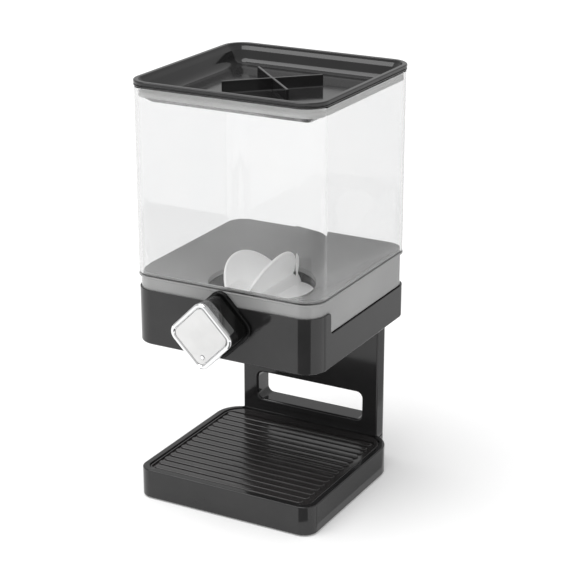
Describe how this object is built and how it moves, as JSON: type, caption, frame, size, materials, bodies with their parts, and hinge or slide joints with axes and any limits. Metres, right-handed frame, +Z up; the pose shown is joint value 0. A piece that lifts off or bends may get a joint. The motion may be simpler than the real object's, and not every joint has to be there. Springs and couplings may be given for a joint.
{
  "type": "cereal dispenser",
  "caption": "Countertop cereal dispenser: clear square canister with lid over a housing with a knob-turned paddle wheel, on a windowed column and ribbed base.",
  "frame": {"origin": "on the table, at the middle of the object's bounding box, under the paddle wheel", "axes": "+Z up; -Y towards the user, along the knob's shaft; +X to the user's right"},
  "size_m": [0.1512, 0.18, 0.3162],
  "materials": {
    "black_plastic": "high gloss black",
    "clear_plastic": "clear, polished",
    "smoke_plastic": "translucent grey, polished",
    "white_silicone": "translucent white, matte",
    "grey_silicone": "translucent grey, ribbed",
    "chrome_plate": "polished plating",
    "satin_chrome": "satin silver plate",
    "bearing_plastic": "natural acetal",
    "steel": "plain",
    "foot_rubber": "matte black"
  },
  "bodies": {
    "stand": {"base_shell": "black_plastic", "base_bottom_plate": "black_plastic", "foot_front_left": "foot_rubber", "foot_front_right": "foot_rubber", "foot_rear_left": "foot_rubber", "foot_rear_right": "foot_rubber", "column_shell": "black_plastic", "column_rear_cover": "black_plastic", "housing_shell": "black_plastic", "housing_deck": "black_plastic", "wheel_chamber": "black_plastic", "front_bush": "bearing_plastic", "rear_bush": "bearing_plastic", "plate_screw_1": "steel", "plate_screw_2": "steel", "plate_screw_3": "steel", "plate_screw_4": "steel", "deck_screw_1": "steel", "deck_screw_2": "steel", "deck_screw_3": "steel", "deck_screw_4": "steel", "chamber_screw_1": "steel", "chamber_screw_2": "steel", "chamber_screw_3": "steel", "chamber_screw_4": "steel", "column_foot_screw_1": "steel", "column_foot_screw_2": "steel", "column_head_screw_1": "steel", "column_head_screw_2": "steel"},
    "rotor": {"drive_shaft": "steel", "shaft_clip": "steel", "wheel_core": "bearing_plastic", "paddle_wheel": "white_silicone", "knob_collar": "black_plastic", "knob_stem": "black_plastic", "knob_body": "chrome_plate", "knob_face": "satin_chrome", "knob_mark": "chrome_plate"},
    "canister": {"canister": "clear_plastic", "funnel": "smoke_plastic"},
    "lid": {"lid": "black_plastic", "lid_gasket": "grey_silicone"},
    "tray": {"ribbed_tray": "black_plastic"}
  },
  "joints": [
    {"name": "knob_turn", "type": "hinge", "parent": "stand", "child": "rotor", "pos_m": [0, 0, 0.15], "axis": [0, 1, 0], "continuous": true},
    {"name": "canister_lift", "type": "slide", "parent": "stand", "child": "canister", "axis": [0, 0, 1], "range_m": [0, 0.06]},
    {"name": "lid_lift", "type": "slide", "parent": "canister", "child": "lid", "axis": [0, 0, 1], "range_m": [0, 0.03]},
    {"name": "tray_lift", "type": "slide", "parent": "stand", "child": "tray", "axis": [0, 0, 1], "range_m": [0, 0.02]}
  ]
}
